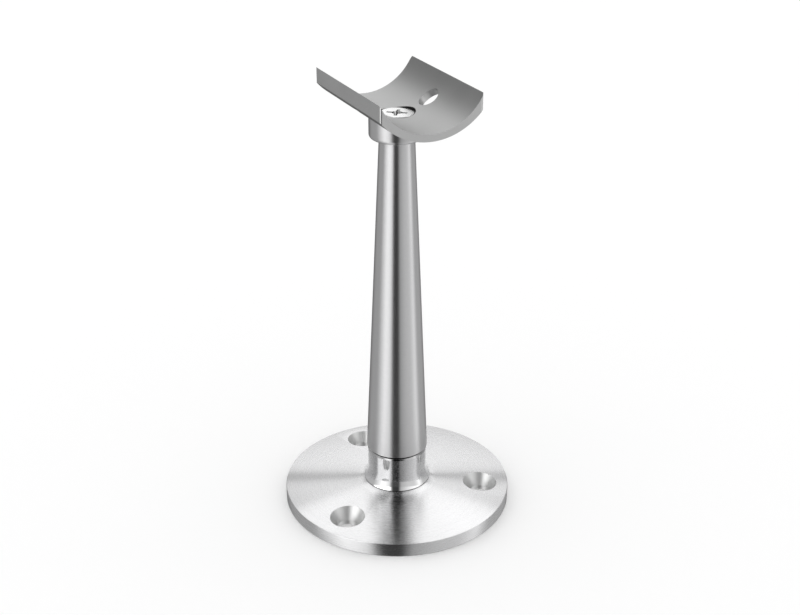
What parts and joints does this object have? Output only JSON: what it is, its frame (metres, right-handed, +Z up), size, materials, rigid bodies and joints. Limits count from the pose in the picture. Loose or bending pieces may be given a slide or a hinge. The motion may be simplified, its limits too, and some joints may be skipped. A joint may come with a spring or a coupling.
{
  "type": "handrail bracket",
  "caption": "Post-top handrail bracket: round screw-down base flange, tapered stem and a curved saddle that carries a round rail from below.",
  "frame": {"origin": "centre of the flange's flat underside, on the surface that the bracket is screwed to", "axes": "+Z up along the stem, +X along the rail, +Y across the rail; one flange hole lies on the -X side"},
  "size_m": [0.08, 0.08, 0.1528],
  "materials": {
    "turned_stainless": "turned in rings on the plate and rim, mirror polished on the hub",
    "brushed_stainless": "fine rings brushed round the stem and boss",
    "satin_stainless": "satin, nearly matt",
    "screw_stainless": "bright"
  },
  "bodies": {
    "root": {"base_flange": "turned_stainless", "stem": "brushed_stainless", "saddle_boss": "brushed_stainless", "saddle_plate": "satin_stainless", "saddle_screw": "screw_stainless", "base_screw": "screw_stainless"}
  },
  "joints": []
}
